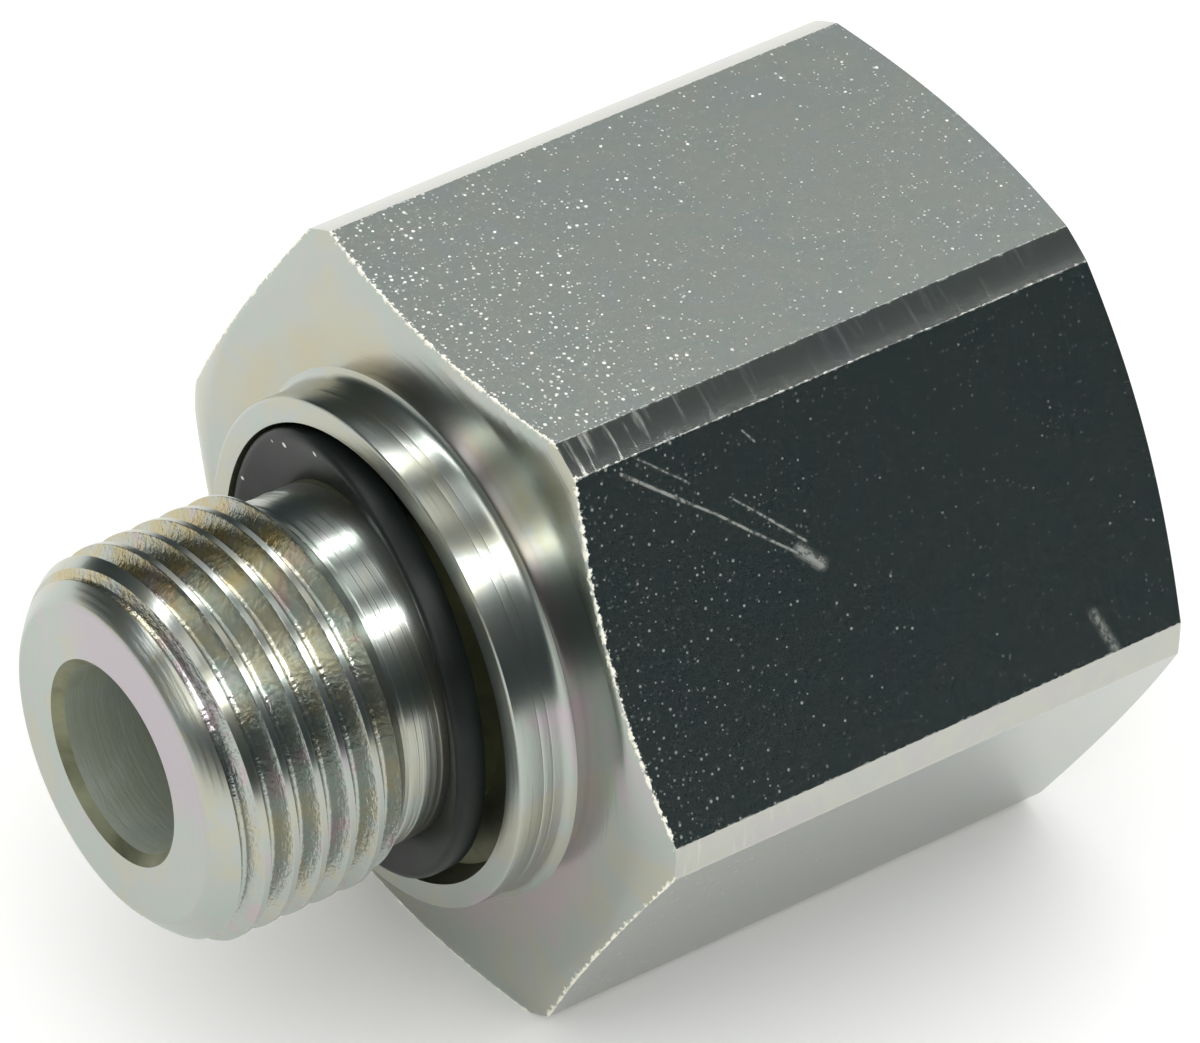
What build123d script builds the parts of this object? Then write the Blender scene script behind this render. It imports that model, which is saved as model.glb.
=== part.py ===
from build123d import *
from math import tan, radians
import os

# A zinc-plated steel thread reducer for hydraulic lines. Sizes are in millimetres.
# The fitting's axis is X. The male stud points towards -X and the female end towards +X.
# The origin is on the axis, in the plane of the collar's narrow sealing lip.
# One flat of the hexagon faces down, the way the fitting comes to rest on a table.

# Hexagon
across_flats = 30.0
corner_diameter = 33.75
hex_length = 26.5
front_chamfer_diameter = 29.2
front_chamfer_angle = 19.0
rear_chamfer_diameter = 28.3
rear_chamfer_angle = 18.0

# Collar behind the stud
collar_length = 2.4
collar_fillet = 0.4
lip_width = 1.05
lip_edge_break = 0.15

# Recess in the collar's face, which the seal is pressed into
seat_depth = 1.4
seat_clearance = 0.35
seat_wall_slope = 0.35

# Male stud, for a G 3/8 A thread
stud_length = 12.0
thread_diameter = 16.5
neck_diameter = 14.8
neck_length = 3.3
run_out_length = 0.6
end_face_diameter = 13.8
lead_chamfer_length = 1.8
lead_crown_length = 1.0
lead_crown_diameter = 15.6
end_face_rounding = 0.35

# Flow bore through the stud
bore_diameter = 8.0
bore_mouth_diameter = 8.8

# Female end, the tapping hole of a G 1/2 thread
tapping_diameter = 18.63
tapping_depth = 18.0
female_mouth_diameter = 21.4
drill_point_angle = 118.0

# Seal ring, pushed half out of its recess, where it grips the neck
seal_back = 0.45
seal_inner_height = 0.27
seal_ridge_height = 0.85
seal_wall = 1.75
seal_ridge_flat = 0.3
seal_rounding = 0.15

# Diameters round the neck, from the seal outwards to the collar
seal_diameter = neck_diameter + 2 * seal_wall
seat_diameter = seal_diameter + 2 * seat_clearance
lip_inner_diameter = seat_diameter + 2 * seat_wall_slope
collar_diameter = lip_inner_diameter + 2 * lip_width

# Places along the axis
hex_front = collar_length
hex_rear = hex_front + hex_length
stud_end = -stud_length
tapping_end = hex_rear - tapping_depth
mouth_countersink_depth = (bore_mouth_diameter - bore_diameter) / 2
female_countersink_depth = (female_mouth_diameter - tapping_diameter) / 2


def chamfer_depth(from_diameter, to_diameter, angle):
    """How far a turned chamfer of this angle to the end face runs back along the axis."""
    return (to_diameter - from_diameter) / 2 * tan(radians(angle))


front_chamfer_depth = chamfer_depth(front_chamfer_diameter, corner_diameter, front_chamfer_angle)
rear_chamfer_depth = chamfer_depth(rear_chamfer_diameter, corner_diameter, rear_chamfer_angle)
drill_point_depth = (tapping_diameter - bore_diameter) / 2 / tan(radians(drill_point_angle / 2))

# Body, turned and drilled from one length of hexagon bar
with BuildPart() as reducer_body:
    # Hexagon bar with one flat down
    with BuildSketch(Plane.YZ.offset(hex_front)):
        RegularPolygon(across_flats / 2, 6, major_radius=False)
    extrude(amount=hex_length)

    # Turned corners and a chamfer at each end
    with BuildSketch(Plane.XZ):
        with BuildLine():
            Polyline(
                (hex_front, 0),
                (hex_front, front_chamfer_diameter / 2),
                (hex_front + front_chamfer_depth, corner_diameter / 2),
                (hex_rear - rear_chamfer_depth, corner_diameter / 2),
                (hex_rear, rear_chamfer_diameter / 2),
                (hex_rear, 0),
                close=True,
            )
        make_face()
    revolve(axis=Axis.X, mode=Mode.INTERSECT)

    # Stud, undercut neck, recess for the seal and collar
    with BuildSketch(Plane.XZ) as turned_front:
        with BuildLine():
            Polyline(
                (hex_front, 0),
                (stud_end, 0),
                (stud_end, end_face_diameter / 2),
                (stud_end + lead_crown_length, lead_crown_diameter / 2),
                (stud_end + lead_chamfer_length, thread_diameter / 2),
                (-neck_length - run_out_length, thread_diameter / 2),
                (-neck_length, neck_diameter / 2),
                (seat_depth, neck_diameter / 2),
                (seat_depth, seat_diameter / 2),
                (0, lip_inner_diameter / 2),
                (0, collar_diameter / 2 - lip_edge_break),
                (lip_edge_break, collar_diameter / 2),
                (hex_front, collar_diameter / 2),
                close=True,
            )
        make_face()
        face_corner = turned_front.vertices().filter_by(lambda v: v.Y > 0).sort_by(Axis.X)[:1]
        fillet(face_corner, radius=end_face_rounding)
    revolve(axis=Axis.X)

    # Small radius where the collar meets the hexagon
    collar_root = (
        reducer_body.edges()
        .filter_by(GeomType.CIRCLE)
        .filter_by(lambda e: abs(e.radius - collar_diameter / 2) < 0.001)
        .sort_by(Axis.X)[-1]
    )
    fillet(collar_root, radius=collar_fillet)

    # Flow bore with its countersunk mouth, and the tapping hole of the female end
    with BuildSketch(Plane.XZ):
        with BuildLine():
            Polyline(
                (stud_end, 0),
                (stud_end, bore_mouth_diameter / 2),
                (stud_end + mouth_countersink_depth, bore_diameter / 2),
                (tapping_end - drill_point_depth, bore_diameter / 2),
                (tapping_end, tapping_diameter / 2),
                (hex_rear - female_countersink_depth, tapping_diameter / 2),
                (hex_rear, female_mouth_diameter / 2),
                (hex_rear, 0),
                close=True,
            )
        make_face()
    revolve(axis=Axis.X, mode=Mode.SUBTRACT)

# Seal ring, a dished profile of black rubber that grips the neck and stands proud of the lip
with BuildPart() as seal_ring:
    with BuildSketch(Plane.XZ) as seal_profile:
        with BuildLine():
            Polyline(
                (seal_back, neck_diameter / 2),
                (-seal_inner_height, neck_diameter / 2),
                (-seal_ridge_height, seal_diameter / 2 - seal_ridge_flat),
                (-seal_ridge_height + seal_ridge_flat, seal_diameter / 2),
                (seal_back, seal_diameter / 2),
                close=True,
            )
        make_face()
        front_corners = seal_profile.vertices().filter_by(
            lambda v: v.X < 0 and v.Y > neck_diameter / 2 + seal_rounding
        )
        fillet(front_corners, radius=seal_rounding)
    revolve(axis=Axis.X)

reducer_body.part.label = "reducer_body"
seal_ring.part.label = "seal_ring"

os.makedirs("parts", exist_ok=True)
export_step(reducer_body.part, "parts/reducer_body.step")
export_step(seal_ring.part, "parts/seal_ring.step")
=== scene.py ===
# %% [markdown]
# # A thread reducer in zinc-plated steel
# The fitting is turned from a hexagon bar: a threaded male stud with a captive rubber seal
# on the left, the hexagon for the spanner, and a larger female thread hidden in its right end.
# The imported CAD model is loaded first. It is the fixed frame that every new piece has to sit in.

# %% Load the frame
from math import cos, pi, radians, sin, sqrt, tan

import bpy
from mathutils import Matrix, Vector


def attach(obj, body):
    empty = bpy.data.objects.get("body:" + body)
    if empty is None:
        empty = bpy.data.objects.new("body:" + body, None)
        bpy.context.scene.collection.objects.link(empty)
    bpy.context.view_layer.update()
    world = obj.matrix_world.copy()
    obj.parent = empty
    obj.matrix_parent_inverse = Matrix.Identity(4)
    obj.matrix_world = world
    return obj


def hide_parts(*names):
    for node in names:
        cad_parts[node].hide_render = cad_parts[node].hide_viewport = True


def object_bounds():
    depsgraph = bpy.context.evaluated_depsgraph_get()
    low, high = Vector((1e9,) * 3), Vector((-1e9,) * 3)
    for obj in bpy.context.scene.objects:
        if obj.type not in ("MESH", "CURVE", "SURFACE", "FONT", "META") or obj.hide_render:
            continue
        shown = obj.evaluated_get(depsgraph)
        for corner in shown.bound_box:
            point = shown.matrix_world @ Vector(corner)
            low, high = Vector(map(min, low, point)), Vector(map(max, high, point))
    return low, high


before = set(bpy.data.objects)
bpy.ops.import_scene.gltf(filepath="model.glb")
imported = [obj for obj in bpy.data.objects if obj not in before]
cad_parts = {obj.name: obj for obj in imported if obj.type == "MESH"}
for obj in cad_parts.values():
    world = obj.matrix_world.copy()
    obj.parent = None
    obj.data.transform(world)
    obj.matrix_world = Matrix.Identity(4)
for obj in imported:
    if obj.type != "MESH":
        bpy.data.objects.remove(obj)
cad_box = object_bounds()
mm = 0.001
print("CAD box in mm", [[round(v / mm, 2) for v in corner] for corner in cad_box])

# %% [markdown]
# ## Camera
# The photograph was taken from the front left and above, with a long lens, so that parallel
# edges stay nearly parallel. The angles and the focal length come from fitting the outline
# of the hexagon and of the turned circles to the picture.

# %% Camera
camera_azimuth = -37.2234
camera_elevation = 40.6032
camera_roll = 2.9489
camera_place = (-0.19397, -0.27038, 0.29272)
focal_length = 334.08
sensor_width = 36.0

bpy.ops.object.select_all(action="DESELECT")
bpy.ops.object.camera_add()
camera = bpy.context.object
camera.name = "photo_camera"
camera.data.lens = focal_length
camera.data.sensor_width = sensor_width
camera.data.clip_start = 0.01
camera.data.clip_end = 20.0
camera.matrix_world = (
    Matrix.Translation(camera_place)
    @ Matrix.Rotation(radians(camera_azimuth), 4, "Z")
    @ Matrix.Rotation(radians(90 - camera_elevation), 4, "X")
    @ Matrix.Rotation(radians(camera_roll), 4, "Z")
)
bpy.context.scene.camera = camera
bpy.context.scene.view_settings.view_transform = "Standard"
print("camera at", camera_place)

# %% [markdown]
# ## Helpers for nodes and colours
# Colours are picked as sRGB hex values, the way that a picture editor shows them, and one
# function turns them to the linear values that the renderer works in. One small function adds
# a shader node with its settings and its links, which keeps each material readable.


# %% Helpers for nodes and colours
def tone(code, strength=1.0):
    """A hex sRGB colour as a linear colour with alpha, made stronger for a light or a floor."""
    parts = [int(code[i : i + 2], 16) / 255 for i in (0, 2, 4)]
    linear = [v / 12.92 if v <= 0.04045 else ((v + 0.055) / 1.055) ** 2.4 for v in parts]
    return (*[v * strength for v in linear], 1.0)


def add(tree, kind, sockets=None, **settings):
    """Adds one node. A socket is given a value, or the socket of another node to link from."""
    made = tree.nodes.new("ShaderNode" + kind)
    for name, value in settings.items():
        setattr(made, name, value)
    for name, value in (sockets or {}).items():
        if isinstance(value, bpy.types.NodeSocket):
            tree.links.new(value, made.inputs[name])
        else:
            made.inputs[name].default_value = value
    return made


print("pale grey is", [round(v, 3) for v in tone("c8c8c4")])

# %% [markdown]
# ## Floor, room and lamps
# The fitting lies on one flat of its hexagon, on a white sheet. Bright metal shows its
# surroundings, so these make most of the picture: a white floor, a dim room near the horizon
# that turns the near flat almost black, and two long lamps above, one on each side of the axis.
# The room looks dim only to glossy rays. To the floor and the rubber it is an even white sky.

# %% Floor
floor_height = cad_box[0][2]
floor_size = 3.0

bpy.ops.mesh.primitive_plane_add(size=floor_size, location=(0, 0, floor_height))
floor = bpy.context.object
floor.name = "floor"
paper = bpy.data.materials.new("white_paper")
paper.use_nodes = True
paper_shader = paper.node_tree.nodes["Principled BSDF"]
paper_shader.inputs["Base Color"].default_value = tone("f4f4f2")
paper_shader.inputs["Roughness"].default_value = 1.0
paper_shader.inputs["Specular IOR Level"].default_value = 0.0
floor.data.materials.append(paper)

# %% Room
world = bpy.data.worlds.new("studio")
bpy.context.scene.world = world
world.use_nodes = True
room = world.node_tree
room.nodes.clear()
direction = add(room, "TexCoord").outputs["Generated"]
height = add(room, "SeparateXYZ", {"Vector": direction}).outputs["Z"]
dim = add(room, "ValToRGB", {"Fac": height})
stops = dim.color_ramp.elements
stops[0].position = 0.0
stops[0].color = tone("1f3338")
stops[1].position = 1.0
stops[1].color = tone("586062")
for position, code in ((0.34, "1a2f34"), (0.60, "40494c")):
    stops.new(position).color = tone(code)
sky = add(room, "Background", {"Color": tone("ffffff"), "Strength": 1.45})
walls = add(room, "Background", {"Color": dim.outputs["Color"], "Strength": 1.0})
rays = add(room, "LightPath").outputs["Is Glossy Ray"]
either = add(room, "MixShader", {0: rays, 1: sky.outputs[0], 2: walls.outputs[0]})
add(room, "OutputWorld", {"Surface": either.outputs[0]})
print("room with", len(room.nodes), "nodes")


# %% Lamps
lamp_distance = 0.8


def shown_to_gloss(made, radiance, area):
    """Sets how bright a lamp looks in the metal. The floor and the rubber are lit by the sky."""
    made.data.energy = radiance * pi * area
    made.visible_diffuse = False
    print(made.name, "power", round(made.data.energy, 3))


def bar(name, lean, half_width, front, rear, radiance):
    """A long lamp parallel to the fitting's axis: its lean from overhead towards the near side
    and its half width in degrees, and how far it reaches along the axis, in metres."""
    bpy.ops.object.light_add(
        type="AREA",
        location=(
            (front + rear) / 2,
            -lamp_distance * sin(radians(lean)),
            lamp_distance * cos(radians(lean)),
        ),
        rotation=(radians(lean), 0, 0),
    )
    made = bpy.context.object
    made.name = name
    made.data.shape = "RECTANGLE"
    made.data.size = rear - front
    made.data.size_y = 2 * lamp_distance * tan(radians(half_width))
    shown_to_gloss(made, radiance, made.data.size * made.data.size_y)


def panel(name, azimuth, elevation, spread, radiance):
    """A round softbox: where it stands and its angular radius, all in degrees."""
    radius = lamp_distance * tan(radians(spread))
    across, up = radians(azimuth), radians(elevation)
    place = (
        lamp_distance * cos(up) * cos(across),
        lamp_distance * cos(up) * sin(across),
        lamp_distance * sin(up),
    )
    bpy.ops.object.light_add(type="AREA", location=place)
    made = bpy.context.object
    made.name = name
    made.rotation_euler = (radians(90 - elevation), 0, radians(azimuth + 90))
    made.data.shape = "DISK"
    made.data.size = 2 * radius
    shown_to_gloss(made, radiance, pi * radius * radius)


bar("near_lamp", 30, 4, -1.0, 0.7, 13)
bar("far_lamp", -27, 3.5, -1.0, 0.7, 9)
bar("overhead_panel", 0, 8, -0.8, 0.7, 1.1)
panel("front_panel", -170, 41, 14, 2.2)
panel("back_panel", 51, 40, 16, 0.52)

# %% [markdown]
# ## Zinc plating
# Every steel surface carries the same thin bright zinc with a clear passive film, a cool grey
# with faint yellow, green and pink patches. What differs is the surface below it: the bar is
# cold drawn and slightly pitted, the front is turned, the bores are drilled. So each finish
# starts from one function, and adds its own marks.

# %% Zinc plating
zinc_reflectance = 0.83
film_colours = (
    (0.30, "b6bab4"),
    (0.42, "babaaa"),
    (0.50, "b5b9b4"),
    (0.60, "b1bbb2"),
    (0.72, "bdb5ba"),
    (0.85, "b8bab7"),
)


def place_in_mm(tree):
    """The place on the object, in mm."""
    place = add(tree, "TexCoord").outputs["Object"]
    return add(tree, "VectorMath", {0: place, "Scale": 1 / mm}, operation="SCALE").outputs[0]


def plated(name, roughness, film_scale=0.25, colours=film_colours):
    """A zinc-plated finish to build on: material, nodes, shader, place in mm, film colour."""
    made = bpy.data.materials.new(name)
    made.use_nodes = True
    tree = made.node_tree
    shader = tree.nodes["Principled BSDF"]
    shader.inputs["Metallic"].default_value = 1.0
    shader.inputs["Roughness"].default_value = roughness
    in_mm = place_in_mm(tree)
    patches = add(
        tree,
        "TexNoise",
        {"Vector": in_mm, "Scale": film_scale, "Detail": 3.0, "Roughness": 0.55, "Distortion": 0.6},
    )
    film = add(tree, "ValToRGB", {"Fac": patches.outputs[0]})
    steps = film.color_ramp.elements
    steps[0].position, steps[0].color = colours[0][0], tone(colours[0][1], zinc_reflectance)
    steps[1].position, steps[1].color = colours[-1][0], tone(colours[-1][1], zinc_reflectance)
    for position, code in colours[1:-1]:
        steps.new(position).color = tone(code, zinc_reflectance)
    tree.links.new(film.outputs["Color"], shader.inputs["Base Color"])
    return made, tree, shader, in_mm, film.outputs["Color"]


def round_axis(tree, in_mm):
    """The radius in mm, and the part of the place that points away from the fitting's axis."""
    outward = add(tree, "VectorMath", {0: in_mm, 1: (0, 1, 1)}, operation="MULTIPLY").outputs[0]
    radius = add(tree, "VectorMath", {0: outward}, operation="LENGTH").outputs["Value"]
    return radius, outward


def ring_place(tree, in_mm, radius, wander=0.22):
    """Place along the axis and radius, so a pattern on it runs round the axis and wanders a bit."""
    slow = add(
        tree, "TexNoise", {"Vector": in_mm, "Scale": wander, "Detail": 2.0, "Roughness": 0.55}
    ).outputs[0]
    x = add(tree, "VectorMath", {0: in_mm, 1: (1, 0, 0)}, operation="DOT_PRODUCT").outputs["Value"]
    return add(tree, "CombineXYZ", {0: x, 1: radius, 2: slow}).outputs[0]


def turned_lay(tree, shader, outward, strength):
    """Gloss that spreads across the tool marks: the tangent runs round the axis."""
    around = add(tree, "VectorMath", {0: (1, 0, 0), 1: outward}, operation="CROSS_PRODUCT")
    tree.links.new(around.outputs[0], shader.inputs["Tangent"])
    shader.inputs["Anisotropic"].default_value = strength
    shader.inputs["Anisotropic Rotation"].default_value = 0.25


def roughened(tree, shader, film, mask, code, roughness, metallic):
    """Where the mask is 1 the surface is paler, rougher and less of a mirror: torn or scuffed
    plating, and painted glints and highlights.
    """
    torn_and_highlight = add(tree, "Mix", {0: mask, 6: film, 7: tone(code)}, data_type="RGBA").outputs[2]
    tree.links.new(torn_and_highlight, shader.inputs["Base Color"])
    smooth = shader.inputs["Roughness"].default_value
    gloss = add(tree, "MapRange", {0: mask, 1: 0.0, 2: 1.0, 3: smooth, 4: roughness}).outputs[0]
    tree.links.new(gloss, shader.inputs["Roughness"])
    mirror = add(tree, "MapRange", {0: mask, 1: 0.0, 2: 1.0, 3: 1.0, 4: metallic}).outputs[0]
    tree.links.new(mirror, shader.inputs["Metallic"])


# %% [markdown]
# ## Torn edges, painted bright
# Where the turning tool left the bar's flats it pushed up a thin torn edge. It is painted as a pale
# cream line, too rough to mirror anything, which also stands in as a painted highlight along the
# edge, so it shows from every side. The line is found from two distances: how far a point lies
# below the flats, and how far behind the chamfer's cone. Both are zero on the edge itself. The long
# edges along the bar only have a dotted trace of it. The corner's lean is how much the radius grows
# for each mm across a flat, where the flat meets a corner strip.


# %% Torn edges, painted bright
across_flats = 30.0
corner_radius = 16.87
hex_front = 2.4
front_chamfer_radius = 29.2 / 2
front_chamfer_slope = tan(radians(19))
corner_lean = 0.458


def torn_edges_and_highlight(tree, in_mm, radius):
    """A mask that is high on the hexagon's torn front edges, which are also a painted highlight,
    and dotted on its long edges.
    """
    farthest = 0.0
    for turn in (0, 60, 120):
        across = add(
            tree,
            "VectorMath",
            {0: in_mm, 1: (0, sin(radians(turn)), cos(radians(turn)))},
            operation="DOT_PRODUCT",
        ).outputs["Value"]
        off_middle = add(tree, "Math", {0: across}, operation="ABSOLUTE").outputs[0]
        farthest = add(tree, "Math", {0: farthest, 1: off_middle}, operation="MAXIMUM").outputs[0]
    below_flat = add(
        tree, "Math", {0: across_flats / 2, 1: farthest}, operation="SUBTRACT"
    ).outputs[0]
    cone_tip = hex_front - front_chamfer_radius * front_chamfer_slope
    cone = add(
        tree, "Math", {0: radius, 1: front_chamfer_slope, 2: cone_tip}, operation="MULTIPLY_ADD"
    ).outputs[0]
    x = add(tree, "VectorMath", {0: in_mm, 1: (1, 0, 0)}, operation="DOT_PRODUCT").outputs["Value"]
    behind_cone = add(tree, "Math", {0: x, 1: cone}, operation="SUBTRACT").outputs[0]
    to_front = add(tree, "Math", {0: below_flat, 1: behind_cone}, operation="ADD").outputs[0]
    ragged = add(
        tree, "TexNoise", {"Vector": in_mm, "Scale": 3.4, "Detail": 4.0, "Roughness": 0.75}
    ).outputs[0]
    front_width = add(tree, "MapRange", {0: ragged, 1: 0.42, 2: 0.68, 3: -0.03, 4: 0.18}).outputs[0]
    past_front = add(tree, "Math", {0: to_front, 1: front_width}, operation="SUBTRACT").outputs[0]
    front = add(tree, "MapRange", {0: past_front, 1: 0.0, 2: 0.05, 3: 0.85, 4: 0.0}).outputs[0]
    below_corner = add(tree, "Math", {0: corner_radius, 1: radius}, operation="SUBTRACT").outputs[0]
    to_long = add(tree, "Math", {0: below_flat, 1: below_corner}, operation="ADD").outputs[0]
    long_width = add(
        tree, "MapRange", {0: ragged, 1: 0.46, 2: 0.66, 3: 0.0, 4: 0.09 * corner_lean}
    ).outputs[0]
    past_long = add(tree, "Math", {0: to_long, 1: long_width}, operation="SUBTRACT").outputs[0]
    long = add(tree, "MapRange", {0: past_long, 1: -0.01, 2: 0.01, 3: 0.22, 4: 0.0}).outputs[0]
    return add(tree, "Math", {0: front, 1: long}, operation="MAXIMUM").outputs[0]


print("torn edges start at radius", front_chamfer_radius)

# %% [markdown]
# ## Turned zinc
# The collar, the neck and the lead chamfer show the rings of the lathe tool. Rings of about
# 0.2 mm break the lamps' reflections into streaks beside each other, and finer ones that no
# pixel can show spread them along the axis. The radius drives the pattern, so the same finish
# gives grooves on a cylinder and circles on a face. The end face has one pink patch of film.

# %% Turned zinc
turned_zinc, tree, shader, in_mm, film = plated("turned_zinc", 0.28)
radius, outward = round_axis(tree, in_mm)
rings = ring_place(tree, in_mm, radius)
coarse_rings = add(
    tree, "TexNoise", {"Vector": rings, "Scale": 1.4, "Detail": 2.0, "Roughness": 0.55}
).outputs[0]
fine_rings = add(
    tree, "TexNoise", {"Vector": rings, "Scale": 5.5, "Detail": 3.0, "Roughness": 0.6}
).outputs[0]
ring_height = add(
    tree, "Math", {0: coarse_rings, 1: 1.5, 2: fine_rings}, operation="MULTIPLY_ADD"
).outputs[0]
relief = add(tree, "Bump", {"Height": ring_height, "Distance": 0.012 * mm})
tree.links.new(relief.outputs[0], shader.inputs["Normal"])
turned_lay(tree, shader, outward, 0.65)
pink_middle = radians(22)
along_pink = add(
    tree,
    "VectorMath",
    {0: in_mm, 1: (0, -sin(pink_middle), cos(pink_middle))},
    operation="DOT_PRODUCT",
).outputs["Value"]
towards_pink = add(tree, "Math", {0: along_pink, 1: radius}, operation="DIVIDE").outputs[0]
pink_sector = add(
    tree, "MapRange", {0: towards_pink, 1: cos(radians(66)), 2: cos(radians(42))}
).outputs[0]
x = add(tree, "VectorMath", {0: in_mm, 1: (1, 0, 0)}, operation="DOT_PRODUCT").outputs["Value"]
on_end_face = add(tree, "MapRange", {0: x, 1: -11.98, 2: -11.95, 3: 0.8, 4: 0.0}).outputs[0]
pink_film = add(tree, "Math", {0: pink_sector, 1: on_end_face}, operation="MULTIPLY").outputs[0]
pink = tone("bab0b9", zinc_reflectance)
tinted = add(tree, "Mix", {0: pink_film, 6: film, 7: pink}, data_type="RGBA")
tree.links.new(tinted.outputs[2], shader.inputs["Base Color"])

# %% [markdown]
# ## Faced zinc
# The hexagon's end faces and chamfers are faced smoother than the collar, so the front face
# mirrors the collar, and the collar's streaks seem to run on into it.

# %% Faced zinc
faced_zinc, tree, shader, in_mm, film = plated("faced_zinc", 0.20, 0.2)
radius, _ = round_axis(tree, in_mm)
rings = ring_place(tree, in_mm, radius)
face_rings = add(
    tree, "TexNoise", {"Vector": rings, "Scale": 3.0, "Detail": 3.0, "Roughness": 0.6}
).outputs[0]
relief = add(tree, "Bump", {"Height": face_rings, "Distance": 0.005 * mm})
tree.links.new(relief.outputs[0], shader.inputs["Normal"])
y = add(tree, "VectorMath", {0: in_mm, 1: (0, 1, 0)}, operation="DOT_PRODUCT").outputs["Value"]
towards_far = add(tree, "Math", {0: y, 1: radius}, operation="DIVIDE").outputs[0]
near_side = add(tree, "MapRange", {0: towards_far, 1: -0.15, 2: 0.35, 3: 1.0, 4: 0.0}).outputs[0]
yellow = tone("bcb494", zinc_reflectance)
pink = tone("c8b6bb", zinc_reflectance)
stain = add(tree, "Mix", {0: near_side, 6: yellow, 7: pink}, data_type="RGBA").outputs[2]
fading_out = add(tree, "MapRange", {0: radius, 1: 12.2, 2: 13.6, 3: 0.75, 4: 0.0}).outputs[0]
clouds = add(
    tree, "TexNoise", {"Vector": in_mm, "Scale": 0.3, "Detail": 2.0, "Roughness": 0.55}
).outputs[0]
cloudy = add(tree, "MapRange", {0: clouds, 1: 0.35, 2: 0.6, 3: 0.4, 4: 1.0}).outputs[0]
by_collar = add(tree, "Math", {0: fading_out, 1: cloudy}, operation="MULTIPLY").outputs[0]
film = add(tree, "Mix", {0: by_collar, 6: film, 7: stain}, data_type="RGBA").outputs[2]
# the torn edges are a pale cream line, partly a painted highlight
roughened(tree, shader, film, torn_edges_and_highlight(tree, in_mm, radius), "ece8d6", 0.7, 0.3)

# %% [markdown]
# ## Thread finish
# The flanks are cut rougher than the collar and the plating is thicker on the crests, so the
# lamps glitter there in grains of about 0.25 mm, and the film shows more yellow and pink.

# %% Thread finish
thread_colours = (
    (0.28, "b8bbb2"),
    (0.40, "bbb9a8"),
    (0.48, "b5b9b2"),
    (0.57, "b0b9b2"),
    (0.66, "bcb1b3"),
    (0.80, "b8bab3"),
)
thread_zinc, tree, shader, in_mm, film = plated("thread_zinc", 0.25, 0.4, thread_colours)
radius, outward = round_axis(tree, in_mm)
rings = ring_place(tree, in_mm, radius, 0.5)
grains = add(
    tree, "TexNoise", {"Vector": in_mm, "Scale": 4.2, "Detail": 3.0, "Roughness": 0.6}
).outputs[0]
fine_rings = add(
    tree, "TexNoise", {"Vector": rings, "Scale": 4.5, "Detail": 3.0, "Roughness": 0.6}
).outputs[0]
thread_height = add(
    tree, "Math", {0: grains, 1: 1.6, 2: fine_rings}, operation="MULTIPLY_ADD"
).outputs[0]
relief = add(tree, "Bump", {"Height": thread_height, "Distance": 0.022 * mm})
tree.links.new(relief.outputs[0], shader.inputs["Normal"])
turned_lay(tree, shader, outward, 0.3)
yellow_middle = radians(-38)
along_yellow = add(
    tree,
    "VectorMath",
    {0: in_mm, 1: (0, -sin(yellow_middle), cos(yellow_middle))},
    operation="DOT_PRODUCT",
).outputs["Value"]
towards_yellow = add(tree, "Math", {0: along_yellow, 1: radius}, operation="DIVIDE").outputs[0]
yellow_sector = add(
    tree, "MapRange", {0: towards_yellow, 1: cos(radians(62)), 2: cos(radians(25)), 3: 0.0, 4: 0.75}
).outputs[0]
clouds = add(
    tree, "TexNoise", {"Vector": in_mm, "Scale": 0.9, "Detail": 2.0, "Roughness": 0.55}
).outputs[0]
cloudy = add(tree, "MapRange", {0: clouds, 1: 0.35, 2: 0.6}).outputs[0]
yellow_film = add(tree, "Math", {0: yellow_sector, 1: cloudy}, operation="MULTIPLY").outputs[0]
yellow = tone("bfae7c", zinc_reflectance)
tinted = add(tree, "Mix", {0: yellow_film, 6: film, 7: yellow}, data_type="RGBA")
tree.links.new(tinted.outputs[2], shader.inputs["Base Color"])

# %% [markdown]
# ## Drilled zinc
# The bores are drilled and lie in their own shade. Their rough rings scatter some of the light
# that comes in at the mouth, which keeps them grey-green instead of black.

# %% Drilled zinc
bore_colours = ((0.3, "b3bcb2"), (0.5, "bcc3b6"), (0.8, "b2b6a2"))
drilled_zinc, tree, shader, in_mm, _ = plated("drilled_zinc", 0.45, 0.3, bore_colours)
shader.inputs["Metallic"].default_value = 0.6
radius, _ = round_axis(tree, in_mm)
rings = ring_place(tree, in_mm, radius, 0.5)
drill_rings = add(
    tree, "TexNoise", {"Vector": rings, "Scale": 2.2, "Detail": 4.0, "Roughness": 0.65}
).outputs[0]
relief = add(tree, "Bump", {"Height": drill_rings, "Distance": 0.03 * mm})
tree.links.new(relief.outputs[0], shader.inputs["Normal"])

# %% [markdown]
# ## Recess shade
# What shows of the narrow recess behind the seal, through the gap, is given a dull dark olive in
# place of the bright zinc. This is painted shade, for the little light that reaches into it.

# %% Recess shade
# painted shade: darker olive colours than the zinc film
recess_shade_colours = ((0.3, "6f715a"), (0.5, "84866c"), (0.8, "6a6e60"))
recess_painted_shade, _, shader, _, _ = plated("recess_painted_shade", 0.42, 0.5, recess_shade_colours)
shader.inputs["Metallic"].default_value = 0.9
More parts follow.
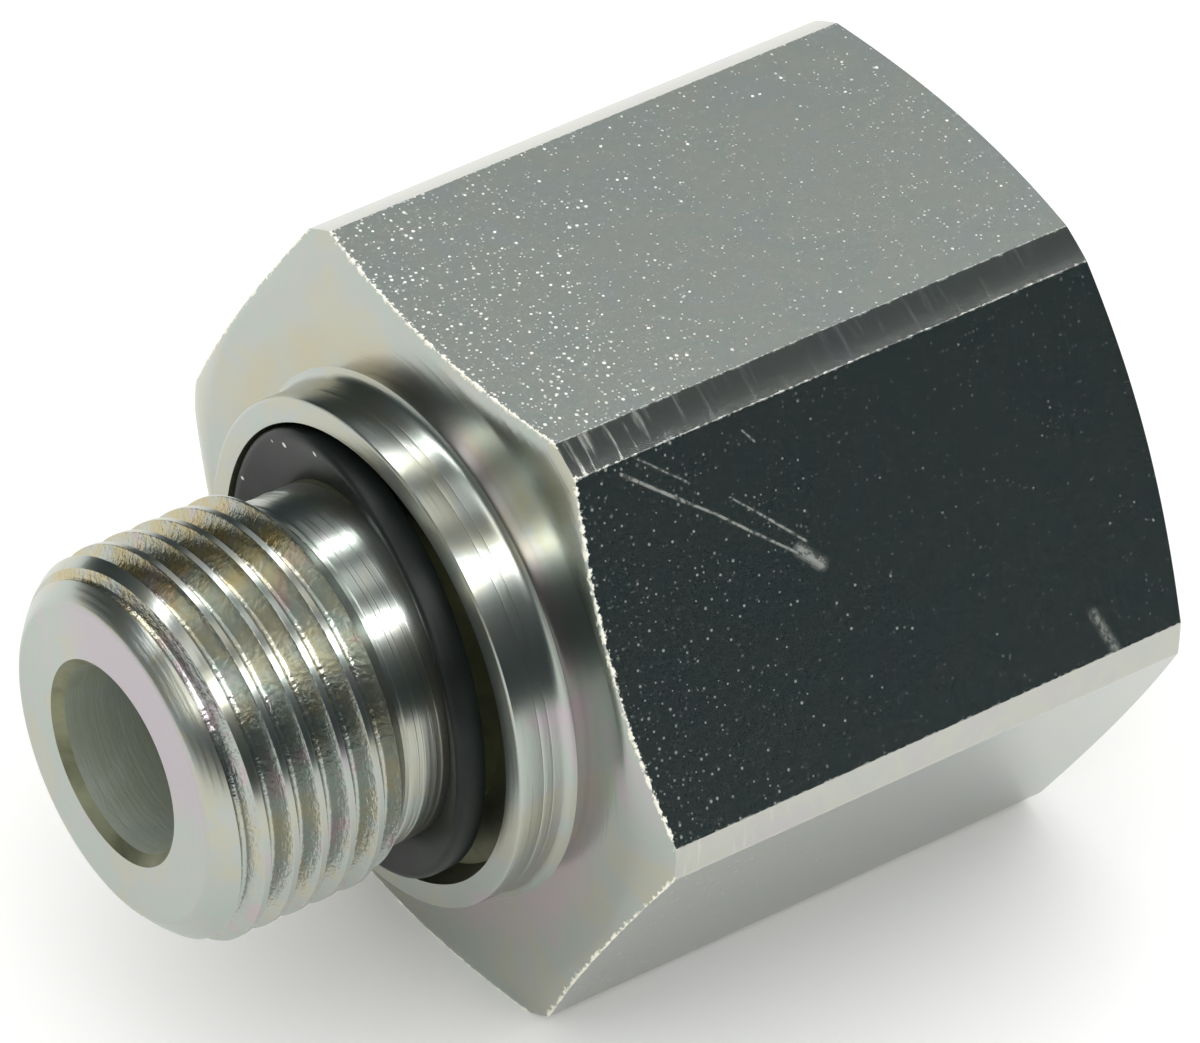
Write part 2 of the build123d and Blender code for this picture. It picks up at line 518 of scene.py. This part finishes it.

# %% [markdown]
# ## Drawn zinc
# The hexagon's flats are the drawn skin of the bar: smooth enough to mirror the room, with a fine
# grain and thousands of tiny pits, shown as faint pale rough specks. A few larger, brighter specks
# are painted glints, for pits that would catch a lamp and sparkle. All the specks are painted
# brighter on the top flat, where the lamps fall, and they are denser towards the front.

# %% Drawn zinc
flat_colours = (
    (0.30, "b0b6b2"),
    (0.45, "b3b6ae"),
    (0.60, "adb5b0"),
    (0.85, "b4b2b3"),
)
drawn_zinc, tree, shader, in_mm, film = plated("drawn_zinc", 0.19, 0.3, flat_colours)
radius, _ = round_axis(tree, in_mm)
waves = add(
    tree, "TexNoise", {"Vector": in_mm, "Scale": 1.1, "Detail": 2.0, "Roughness": 0.55}
).outputs[0]
grain = add(
    tree, "TexNoise", {"Vector": in_mm, "Scale": 6.0, "Detail": 3.0, "Roughness": 0.65}
).outputs[0]
skin = add(tree, "Math", {0: waves, 1: 2.0, 2: grain}, operation="MULTIPLY_ADD").outputs[0]
relief = add(tree, "Bump", {"Height": skin, "Distance": 0.003 * mm})
tree.links.new(relief.outputs[0], shader.inputs["Normal"])
parts = add(tree, "SeparateXYZ", {0: in_mm}).outputs
more_in_front = add(
    tree, "MapRange", {0: parts["X"], 1: 3.0, 2: 15.0, 3: 0.28, 4: -0.10}
).outputs[0]
clouds = add(
    tree, "TexNoise", {"Vector": in_mm, "Scale": 0.3, "Detail": 3.0, "Roughness": 0.6}
).outputs[0]
in_clouds = add(tree, "MapRange", {0: clouds, 1: 0.35, 2: 0.65, 3: -0.09, 4: 0.09}).outputs[0]
crowd = add(tree, "Math", {0: more_in_front, 1: in_clouds}, operation="ADD").outputs[0]
mean_skin_radius = 15.6
turn = add(tree, "Math", {0: parts["Y"], 1: parts["Z"]}, operation="ARCTAN2").outputs[0]
round_skin = add(tree, "Math", {0: turn, 1: mean_skin_radius}, operation="MULTIPLY").outputs[0]
unrolled = add(tree, "CombineXYZ", {0: parts["X"], 1: round_skin}).outputs[0]
# painted light: the specks are made brighter on the top flat, where the lamps fall
top_flat_painted_light = add(tree, "MapRange", {0: parts["Z"], 1: 14.6, 2: 14.9, 3: 0.28, 4: 1.0}).outputs[0]


def specks(per_mm, smallest, largest, rarity):
    """Round specks on the unrolled skin: a mask of their shapes, and a random value for each."""
    cells = add(
        tree, "TexVoronoi", {"Vector": unrolled, "Scale": per_mm}, voronoi_dimensions="2D"
    )
    luck = add(tree, "SeparateColor", {0: cells.outputs["Color"]})
    size = add(
        tree, "MapRange", {0: luck.outputs[2], 1: 0.0, 2: 1.0, 3: smallest, 4: largest}
    ).outputs[0]
    past_rim = add(
        tree, "Math", {0: cells.outputs["Distance"], 1: size}, operation="SUBTRACT"
    ).outputs[0]
    shape = add(tree, "MapRange", {0: past_rim, 1: -0.08, 2: 0.02, 3: 1.0, 4: 0.0}).outputs[0]
    crowded = add(tree, "Math", {0: luck.outputs[0], 1: crowd}, operation="ADD").outputs[0]
    there = add(tree, "MapRange", {0: crowded, 1: rarity, 2: rarity + 0.04}).outputs[0]
    masked = add(tree, "Math", {0: shape, 1: there}, operation="MULTIPLY").outputs[0]
    return masked, luck.outputs[1]


pit_shape, pit_luck = specks(5.0, 0.16, 0.32, 0.55)
rarely_bright = add(tree, "Math", {0: pit_luck, 1: 4.0}, operation="POWER").outputs[0]
pit_strength = add(
    tree, "Math", {0: rarely_bright, 1: 0.35, 2: 0.05}, operation="MULTIPLY_ADD"
).outputs[0]
# painted glints: larger bright pale specks in place of pits that catch a lamp
painted_glint_shape, painted_glint_luck = specks(3.0, 0.10, 0.24, 0.87)
painted_glint_strength = add(
    tree, "MapRange", {0: painted_glint_luck, 1: 0.0, 2: 1.0, 3: 0.35, 4: 1.0}
).outputs[0]
pits = add(tree, "Math", {0: pit_shape, 1: pit_strength}, operation="MULTIPLY").outputs[0]
painted_glints = add(
    tree, "Math", {0: painted_glint_shape, 1: painted_glint_strength}, operation="MULTIPLY"
).outputs[0]
specks_and_painted_glints = add(tree, "Math", {0: pits, 1: painted_glints}, operation="MAXIMUM").outputs[0]
specks_and_painted_glints = add(tree, "Math", {0: specks_and_painted_glints, 1: top_flat_painted_light}, operation="MULTIPLY").outputs[0]

# %% [markdown]
# ## Scratches on the near flat
# A pair of thin scratches runs back from the front corner and ends in one scuff, and there is
# another scuff at the lower rear. Each is a straight line on the flat, given by its ends in mm
# along the axis and up the flat. A noise breaks them up.

# %% Scratches on the near flat
near_flat_up = (0.0, 0.5, sqrt(3) / 2)
near_flat_out = (0.0, -sqrt(3) / 2, 0.5)


def on_near_flat(x, up):
    """A point of the near flat in mm, from its place along the axis and up the flat."""
    return tuple(
        (x if axis == 0 else 0) + up * near_flat_up[axis] + across_flats / 2 * near_flat_out[axis]
        for axis in range(3)
    )


def scratch(start, end, width, strength):
    """A mask for a straight scratch: its strength on the line, 0 from half a width away."""
    first, last = on_near_flat(*start), on_near_flat(*end)
    length = sqrt(sum((b - a) ** 2 for a, b in zip(first, last)))
    along = tuple((b - a) / length for a, b in zip(first, last))
    away = add(tree, "VectorMath", {0: in_mm, 1: first}, operation="SUBTRACT").outputs[0]
    reach = add(tree, "VectorMath", {0: away, 1: along}, operation="DOT_PRODUCT").outputs["Value"]
    kept = add(tree, "Clamp", {"Value": reach, "Min": 0.0, "Max": length})
    foot = add(tree, "VectorMath", {0: along, "Scale": kept.outputs[0]}, operation="SCALE")
    gap = add(tree, "VectorMath", {0: away, 1: foot.outputs[0]}, operation="DISTANCE")
    return add(
        tree,
        "MapRange",
        {0: gap.outputs["Value"], 1: width * 0.1, 2: width * 0.5, 3: strength, 4: 0.0},
    ).outputs[0]


scratches = [
    scratch((5.2, 7.2), (7.7, 5.1), 0.22, 0.34),
    scratch((7.7, 5.1), (8.8, 4.2), 0.18, 0.30),
    scratch((8.8, 4.2), (10.1, 3.0), 0.18, 0.34),
    scratch((10.1, 3.0), (12.0, 1.3), 0.18, 0.30),
    scratch((6.1, 7.5), (7.9, 5.9), 0.16, 0.24),
    scratch((9.6, 4.6), (10.7, 3.5), 0.15, 0.24),
    scratch((10.7, 3.5), (12.4, 1.7), 0.18, 0.30),
    scratch((12.0, 1.5), (12.8, 0.6), 0.75, 0.30),
    scratch((10.9, 6.9), (11.3, 6.3), 0.15, 0.24),
    scratch((24.2, -5.9), (24.8, -7.7), 0.65, 0.20),
]
scratched = scratches[0]
for other in scratches[1:]:
    scratched = add(tree, "Math", {0: scratched, 1: other}, operation="MAXIMUM").outputs[0]
breaks = add(
    tree, "TexNoise", {"Vector": in_mm, "Scale": 3.5, "Detail": 3.0, "Roughness": 0.7}
).outputs[0]
broken_up = add(tree, "MapRange", {0: breaks, 1: 0.38, 2: 0.55, 3: 0.25, 4: 1.0}).outputs[0]
scratched = add(tree, "Math", {0: scratched, 1: broken_up}, operation="MULTIPLY").outputs[0]
# the pale marks hold painted glints as well as real scratches
marks = add(tree, "Math", {0: specks_and_painted_glints, 1: scratched}, operation="MAXIMUM").outputs[0]
# the torn edges are a pale cream line, partly a painted highlight
torn_and_highlight = torn_edges_and_highlight(tree, in_mm, radius)
marks = add(tree, "Math", {0: marks, 1: torn_and_highlight}, operation="MAXIMUM").outputs[0]
roughened(tree, shader, film, marks, "f4f2e8", 0.7, 0.15)

# %% [markdown]
# ## Rolled corners
# The narrow turned strips at the hexagon's corners are burnished. They mirror the dim ceiling in a
# dark purple grey, and near the front the tool's chatter crosses them in short pale ticks. The
# ticks are painted pale, partly for the real chatter marks and partly as painted glints.

# %% Rolled corners
corner_colours = ((0.3, "bcbfbc"), (0.5, "c2c3ba"), (0.8, "bdb9c0"))
rolled_corner, tree, shader, in_mm, film = plated("rolled_corner", 0.11, 0.4, corner_colours)
radius, _ = round_axis(tree, in_mm)
x = add(tree, "VectorMath", {0: in_mm, 1: (1, 0, 0)}, operation="DOT_PRODUCT").outputs["Value"]
squeezed = add(tree, "VectorMath", {0: in_mm, 1: (3.4, 0.35, 0.35)}, operation="MULTIPLY")
ticks = add(
    tree, "TexNoise", {"Vector": squeezed.outputs[0], "Scale": 1.0, "Detail": 3.0, "Roughness": 0.6}
).outputs[0]
# painted glints: the chatter ticks are painted pale and rough
chatter_painted_glint = add(tree, "MapRange", {0: ticks, 1: 0.54, 2: 0.70}).outputs[0]
fading = add(tree, "MapRange", {0: x, 1: 4.0, 2: 11.0, 3: 0.28, 4: 0.04}).outputs[0]
faded_chatter_glint = add(tree, "Math", {0: chatter_painted_glint, 1: fading}, operation="MULTIPLY").outputs[0]
# the torn edges are a pale cream line, partly a painted highlight
torn_and_highlight = torn_edges_and_highlight(tree, in_mm, radius)
corner_marks_and_glints = add(tree, "Math", {0: faded_chatter_glint, 1: torn_and_highlight}, operation="MAXIMUM").outputs[0]
waves = add(
    tree, "TexNoise", {"Vector": in_mm, "Scale": 3.0, "Detail": 3.0, "Roughness": 0.6}
).outputs[0]
relief = add(tree, "Bump", {"Height": waves, "Distance": 0.003 * mm})
tree.links.new(relief.outputs[0], shader.inputs["Normal"])
roughened(tree, shader, film, corner_marks_and_glints, "dcdad2", 0.6, 0.3)

# %% [markdown]
# ## Turning and cutting
# On the lathe a shape is a profile swept round the axis, so one helper does just that: a circle
# is extruded from station to station along X and scaled to each radius. Another helper joins
# or cuts two solids with a Boolean modifier. Each tool brings its own finish, and the faces that
# it leaves on the body keep it, as a real tool leaves its marks.

# %% Turning and cutting
sides = 240


def to_edit(obj):
    """Makes one object active and alone selected, in edit mode with everything selected."""
    bpy.ops.object.select_all(action="DESELECT")
    obj.select_set(True)
    bpy.context.view_layer.objects.active = obj
    bpy.ops.object.mode_set(mode="EDIT")
    bpy.ops.mesh.select_all(action="SELECT")


def to_object():
    """Merges doubles, points the faces outwards and leaves edit mode."""
    bpy.ops.mesh.select_all(action="SELECT")
    bpy.ops.mesh.remove_doubles(threshold=0.001 * mm)
    bpy.ops.mesh.normals_make_consistent(inside=False)
    bpy.ops.object.mode_set(mode="OBJECT")


def turned(name, stations, finish):
    """A solid turned round the X axis. Each station is a place on the axis and a radius, in mm."""
    start, radius = stations[0]
    bpy.ops.object.select_all(action="DESELECT")
    bpy.ops.mesh.primitive_circle_add(
        vertices=sides,
        radius=radius * mm,
        fill_type="NGON",
        location=(start * mm, 0, 0),
        rotation=(0, pi / 2, 0),
    )
    made = bpy.context.object
    made.name = name
    bpy.ops.object.transform_apply(location=True, rotation=True, scale=True)
    to_edit(made)
    for (x_old, r_old), (x_new, r_new) in zip(stations, stations[1:]):
        bpy.ops.mesh.extrude_region_move(
            TRANSFORM_OT_translate={"value": ((x_new - x_old) * mm, 0, 0)}
        )
        grown = r_new / r_old
        bpy.ops.transform.resize(value=(1, grown, grown), center_override=(x_new * mm, 0, 0))
    to_object()
    made.data.materials.append(finish)
    return made


def combined(obj, tool, operation):
    """Applies a Boolean of the tool to the object and removes the tool."""
    bpy.ops.object.select_all(action="DESELECT")
    obj.select_set(True)
    bpy.context.view_layer.objects.active = obj
    cut = obj.modifiers.new("cut", "BOOLEAN")
    cut.operation = operation
    cut.solver = "MANIFOLD"
    cut.material_mode = "TRANSFER"
    cut.object = tool
    bpy.ops.object.modifier_apply(modifier=cut.name)
    bpy.data.objects.remove(tool)
    print(obj.name, operation.lower(), "leaves", len(obj.data.polygons), "faces")


# %% [markdown]
# ## Screw threads
# A thread is one rounded Whitworth tooth screwed along the axis. The Screw modifier does it,
# and the two open ends are closed to a point. The male thread is this rod cut to the turned
# shape of the stud, so the crests run out on the chamfer and at the neck as they do when a
# real thread is cut. A second, larger rod is the tap that cuts the female thread.


# %% Screw threads
def rod(name, pitch, crest_radius, start, turns, groove_place, finish):
    """A right-hand Whitworth thread as a solid rod along X: one rounded tooth, screwed along."""
    rounding = 0.1373 * pitch
    depth = 0.6403 * pitch
    flank = radians(27.5)
    root_radius = crest_radius - depth
    arc_steps = 4
    half = []
    for step in range(arc_steps + 1):
        angle = step / arc_steps * (pi / 2 - flank)
        half.append((rounding * sin(angle), root_radius + rounding * (1 - cos(angle))))
    for step in range(arc_steps, -1, -1):
        angle = step / arc_steps * (pi / 2 - flank)
        half.append((pitch / 2 - rounding * sin(angle), crest_radius - rounding * (1 - cos(angle))))
    tooth = half + [(pitch - x, r) for x, r in reversed(half[:-1])]
    shift = (groove_place - start) % pitch + start
    points = [((shift + x) * mm, 0, r * mm) for x, r in tooth]
    mesh = bpy.data.meshes.new(name)
    mesh.from_pydata(points, [(i, i + 1) for i in range(len(points) - 1)], [])
    made = bpy.data.objects.new(name, mesh)
    bpy.context.collection.objects.link(made)
    bpy.ops.object.select_all(action="DESELECT")
    made.select_set(True)
    bpy.context.view_layer.objects.active = made
    screw = made.modifiers.new("screw", "SCREW")
    screw.axis = "X"
    screw.angle = 2 * pi
    screw.screw_offset = pitch * mm
    screw.iterations = turns
    screw.steps = screw.render_steps = 144
    bpy.ops.object.modifier_apply(modifier=screw.name)
    to_edit(made)
    bpy.ops.mesh.remove_doubles(threshold=0.002 * mm)
    middle = (shift + turns * pitch / 2) * mm
    for low_end in (True, False):
        bpy.ops.mesh.select_all(action="DESELECT")
        bpy.ops.object.mode_set(mode="OBJECT")
        uses = [0] * len(made.data.edges)
        for loop in made.data.loops:
            uses[loop.edge_index] += 1
        for edge in made.data.edges:
            x = made.data.vertices[edge.vertices[0]].co.x
            edge.select = uses[edge.index] == 1 and (x < middle) == low_end
        bpy.ops.object.mode_set(mode="EDIT")
        bpy.ops.mesh.select_mode(type="EDGE")
        bpy.ops.mesh.extrude_edges_move(
            TRANSFORM_OT_translate={"value": (pitch * mm * (-1 if low_end else 1), 0, 0)}
        )
        bpy.ops.mesh.merge(type="CENTER")
    bpy.ops.mesh.select_mode(type="VERT")
    to_object()
    made.data.materials.append(finish)
    return made


# %% [markdown]
# ## Hexagon
# A six-sided cylinder is cut by a turned envelope, which rounds its corners to narrow strips and
# chamfers both ends, so each flat gets its curved front edge. The edges stay sharp, as on the
# real one, whose torn edge is part of the finish.

# %% Hexagon
hex_rear = 28.9
front_chamfer_depth = (corner_radius - front_chamfer_radius) * front_chamfer_slope
rear_chamfer_radius = 28.3 / 2
rear_chamfer_depth = (corner_radius - rear_chamfer_radius) * tan(radians(18))

bpy.ops.object.select_all(action="DESELECT")
bpy.ops.mesh.primitive_cylinder_add(
    vertices=6,
    radius=across_flats / sqrt(3) * mm,
    depth=(hex_rear - hex_front + 2) * mm,
    location=((hex_front + hex_rear) / 2 * mm, 0, 0),
    rotation=(0, pi / 2, 0),
)
body = bpy.context.object
body.name = "turned_body"
bpy.ops.object.transform_apply(location=True, rotation=True, scale=True)
body.data.materials.append(drawn_zinc)
chamfers = turned(
    "chamfers",
    [
        (hex_front, front_chamfer_radius),
        (hex_front + front_chamfer_depth, corner_radius),
        (hex_rear - rear_chamfer_depth, corner_radius),
        (hex_rear, rear_chamfer_radius),
    ],
    faced_zinc,
)
combined(body, chamfers, "INTERSECT")

# %% [markdown]
# ## Turned front
# The neck, the recess for the seal and the collar are one turned profile. The tool left fine
# ridges on the neck and two shallow grooves round the collar, each with a steep front side. The
# collar runs into the hexagon with a small radius. The profile goes on into the hexagon, so that
# the two solids overlap and join cleanly.

# %% Turned front
neck_radius = 7.4
collar_radius = 10.9
lip_inner_radius = 9.85
recess_floor = 1.4
recess_radius = 9.5

neck_stations = [(-6.0, neck_radius), (-3.0, neck_radius)]
neck_ridges = ((-2.85, 0.05), (-2.44, 0.02), (-2.2, 0.03), (-1.7, 0.02), (-1.35, 0.03))
for ridge_place, ridge_height in neck_ridges:
    neck_stations += [
        (ridge_place - 0.07, neck_radius),
        (ridge_place, neck_radius + ridge_height),
        (ridge_place + 0.05, neck_radius - 0.02),
        (ridge_place + 0.12, neck_radius),
    ]
root_radius = 11.32
front = turned(
    "turned_front",
    neck_stations
    + [
        (-0.3, neck_radius),
        (recess_floor, neck_radius),
        (recess_floor, recess_radius),
        (0.0, lip_inner_radius),
        (0.0, collar_radius - 0.15),
        (0.02, collar_radius - 0.08),
        (0.07, collar_radius - 0.02),
        (0.14, collar_radius),
        (1.05, collar_radius),
        (1.09, collar_radius - 0.03),
        (1.16, collar_radius - 0.005),
        (1.52, collar_radius),
        (1.56, collar_radius - 0.035),
        (1.64, collar_radius - 0.01),
        (2.0, collar_radius),
        (2.13, 10.95),
        (2.24, 11.03),
        (2.33, 11.14),
        (hex_front, root_radius),
        (hex_front + 1.0, root_radius),
    ],
    turned_zinc,
)
combined(body, front, "UNION")

# %% [markdown]
# ## Male stud
# The thread rod is longer than the stud. Intersecting it with the turned blank gives the end face,
# the lead chamfer in its two slopes with a rounded rim, and the run-out at the neck. The rod's
# crests stand a little over the blank, so that the blank turns them to the true diameter.

# %% Male stud
thread_radius = 8.25
stud_end = -12.0
male_pitch = 1.337
uncut_crest_radius = 8.3
first_groove = -9.807
stud = rod("stud", male_pitch, uncut_crest_radius, -14.2, 10, first_groove, thread_zinc)
stud_blank = turned(
    "stud_blank",
    [
        (stud_end, 6.62),
        (stud_end + 0.03, 6.74),
        (stud_end + 0.12, 6.90),
        (stud_end + 0.28, 7.08),
        (stud_end + 0.6, 7.44),
        (stud_end + 1.0, 7.80),
        (stud_end + 1.4, 8.07),
        (stud_end + 1.8, thread_radius),
        (-3.93, thread_radius),
        (-3.0, 7.3),
        (-2.6, 6.9),
    ],
    turned_zinc,
)
combined(stud, stud_blank, "INTERSECT")
combined(body, stud, "UNION")

# %% [markdown]
# ## Bores
# One turned cutter makes the countersunk mouth, the flow bore, the cone of the drill's point and
# the tapping hole with its countersink. The tap then cuts the female thread. Its first turns grow
# from the hole's size to full depth, as a tap's lead does.

# %% Bores
bore_radius = 4.0
tapping_radius = 9.315
female_countersink = 1.385
female_pitch = 1.814
tap_radius = 10.42
bore = turned(
    "bore",
    [
        (stud_end - 0.5, 4.9),
        (stud_end + 0.4, bore_radius),
        (7.7, bore_radius),
        (10.9, tapping_radius),
        (hex_rear - female_countersink, tapping_radius),
        (hex_rear, 10.7),
        (hex_rear + 0.5, 11.2),
    ],
    drilled_zinc,
)
combined(body, bore, "DIFFERENCE")
tap = rod("tap", female_pitch, tap_radius, 10.0, 14, 12.0, thread_zinc)
tap_blank = turned(
    "tap_blank",
    [(12.6, 8.6), (14.4, 10.5), (hex_rear + 1, 10.5)],
    thread_zinc,
)
combined(tap, tap_blank, "INTERSECT")
combined(body, tap, "DIFFERENCE")

# %% [markdown]
# ## Smooth shading
# The turned surfaces are many narrow faces. Smooth shading up to an angle blends them and leaves
# real edges sharp. Normals weighted by area keep a big flat from bending towards a small
# neighbour, which a mirror finish would show at once.


# %% Smooth shading
def smoothed(obj, angle):
    """Smooth shading up to an angle, with normals weighted by area so that flats stay flat."""
    bpy.ops.object.select_all(action="DESELECT")
    obj.select_set(True)
    bpy.context.view_layer.objects.active = obj
    bpy.ops.object.shade_smooth_by_angle(angle=radians(angle))
    weighted = obj.modifiers.new("weighted", "WEIGHTED_NORMAL")
    weighted.keep_sharp = True
    weighted.weight = 100
    bpy.ops.object.modifier_apply(modifier=weighted.name)


# %% [markdown]
# ## Finishes by place
# The Boolean tools have left their finishes on the faces that they cut. Three areas need another
# one, and are picked by where they lie: the corner strips, the recess behind the seal, and the
# countersink at the mouth of the bore. The last two get the same painted shade, a dull dark olive.

# %% Finishes by place
body.data.materials.append(rolled_corner)
corner_slot = len(body.data.materials) - 1
body.data.materials.append(recess_painted_shade)
recess_slot = len(body.data.materials) - 1
mouth_radius = 4.4
mouth_depth = 0.4
counts = {"corner": 0, "recess": 0, "mouth": 0}
for face in body.data.polygons:
    x, y, z = (v / mm for v in face.center)
    off_axis = sqrt(y * y + z * z)
    points_out = (face.normal.y * y + face.normal.z * z) / max(off_axis, 0.001)
    if abs(off_axis - corner_radius) < 0.02 and points_out > 0.9:
        face.material_index = corner_slot
        counts["corner"] += 1
    # the recess behind the seal gets the painted shade
    elif -0.01 < x < recess_floor + 0.01 and neck_radius - 0.1 < off_axis < lip_inner_radius:
        face.material_index = recess_slot
        counts["recess"] += 1
    # the countersink at the bore's mouth gets the same painted shade
    elif x < stud_end + mouth_depth + 0.02 and bore_radius < off_axis < mouth_radius + 0.01:
        face.material_index = recess_slot
        counts["mouth"] += 1
print("faces by place", counts)

# %% [markdown]
# ## Finish the body
# The piece stands for the CAD node of the same part, which is hidden, and rides on the one body
# that the fitting has.

# %% Finish the body
smoothed(body, 25)
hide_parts("reducer_body")
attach(body, "root")
print("body triangles", sum(len(p.vertices) - 2 for p in body.data.polygons))

# %% [markdown]
# ## Seal ring
# The seal is a dished ring of black rubber that grips the neck. Its far side sits in the recess
# and its near side has crept out, which leaves a gap to the recess behind it. It is turned as a
# closed profile, and then slid along the neck, outwards on the near side and inwards on the far
# side, so that its bore stays on the neck all the way round. The far side is also squeezed wider,
# less so towards its back. The rubber is a smooth moulded nitrile, black with a soft sheen, and
# holds a few grains of pale dust.

# %% Rubber
rubber = bpy.data.materials.new("black_rubber_seal")
rubber.use_nodes = True
tree = rubber.node_tree
shader = tree.nodes["Principled BSDF"]
shader.inputs["Roughness"].default_value = 0.42
shader.inputs["Specular IOR Level"].default_value = 0.2
in_mm = place_in_mm(tree)
bloom = add(
    tree, "TexNoise", {"Vector": in_mm, "Scale": 0.5, "Detail": 3.0, "Roughness": 0.5}
).outputs[0]
black = add(tree, "ValToRGB", {"Fac": bloom})
black.color_ramp.elements[0].position = 0.35
black.color_ramp.elements[0].color = tone("0e1311")
black.color_ramp.elements[1].position = 0.7
black.color_ramp.elements[1].color = tone("191f1c")
dust_cells = add(tree, "TexVoronoi", {"Vector": in_mm, "Scale": 0.75})
dust_luck = add(tree, "SeparateColor", {0: dust_cells.outputs["Color"]}).outputs[0]
dust_there = add(tree, "Math", {0: dust_luck, 1: 0.55}, operation="GREATER_THAN").outputs[0]
dust_size = add(
    tree, "MapRange", {0: dust_cells.outputs["Distance"], 1: 0.07, 2: 0.11, 3: 1.0, 4: 0.0}
).outputs[0]
dust = add(tree, "Math", {0: dust_there, 1: dust_size}, operation="MULTIPLY").outputs[0]
pale_dust = tone("d8dcd6")
dusty = add(tree, "Mix", {0: dust, 6: black.outputs["Color"], 7: pale_dust}, data_type="RGBA")
tree.links.new(dusty.outputs[2], shader.inputs["Base Color"])
mould = add(
    tree, "TexNoise", {"Vector": in_mm, "Scale": 4.0, "Detail": 2.0, "Roughness": 0.5}
).outputs[0]
relief = add(tree, "Bump", {"Height": mould, "Distance": 0.008 * mm, "Strength": 0.6})
tree.links.new(relief.outputs[0], shader.inputs["Normal"])

# %% Seal ring
seal_back = 0.45
seal_radius = 9.15
seal_profile = [
    (seal_back, neck_radius),
    (-0.27, neck_radius),
    (-0.33, neck_radius + 0.10),
    (-0.62, 8.2),
    (-0.80, 8.72),
    (-0.85, 8.86),
    (-0.81, 9.0),
    (-0.68, 9.11),
    (-0.52, seal_radius),
    (seal_back - 0.15, seal_radius),
    (seal_back - 0.04, seal_radius - 0.05),
    (seal_back, seal_radius - 0.16),
]
bpy.ops.object.select_all(action="DESELECT")
bpy.ops.mesh.primitive_circle_add(
    vertices=sides,
    radius=seal_profile[0][1] * mm,
    location=(seal_profile[0][0] * mm, 0, 0),
    rotation=(0, pi / 2, 0),
)
seal = bpy.context.object
seal.name = "rubber_seal"
bpy.ops.object.transform_apply(location=True, rotation=True, scale=True)
to_edit(seal)
for (x_old, r_old), (x_new, r_new) in zip(seal_profile, seal_profile[1:] + seal_profile[:1]):
    bpy.ops.mesh.extrude_edges_move(
        TRANSFORM_OT_translate={"value": ((x_new - x_old) * mm, 0, 0)}
    )
    grown = r_new / r_old
    bpy.ops.transform.resize(value=(1, grown, grown), center_override=(x_new * mm, 0, 0))
to_object()
creep = 0.095
swelling = 0.62
far_side_start = -0.35
far_side_width = 1.2
taper_start = -0.8
taper = 0.2
for vertex in seal.data.vertices:
    x, y, z = vertex.co / mm
    off_axis = sqrt(y * y + z * z)
    outwards = (off_axis - neck_radius) / (seal_radius - neck_radius)
    far_side = min(max((y / off_axis - far_side_start) / far_side_width, 0.0), 1.0)
    squashed = far_side * far_side * (3 - 2 * far_side) * outwards
    deep = max(x - taper_start, 0.0)
    grown = 1 + squashed * (swelling - taper * deep) / off_axis
    vertex.co = ((x + creep * y * grown) * mm, y * grown * mm, z * grown * mm)
seal.data.materials.append(rubber)
smoothed(seal, 40)
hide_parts("seal_ring")
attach(seal, "root")
print("seal triangles", sum(len(p.vertices) - 2 for p in seal.data.polygons))
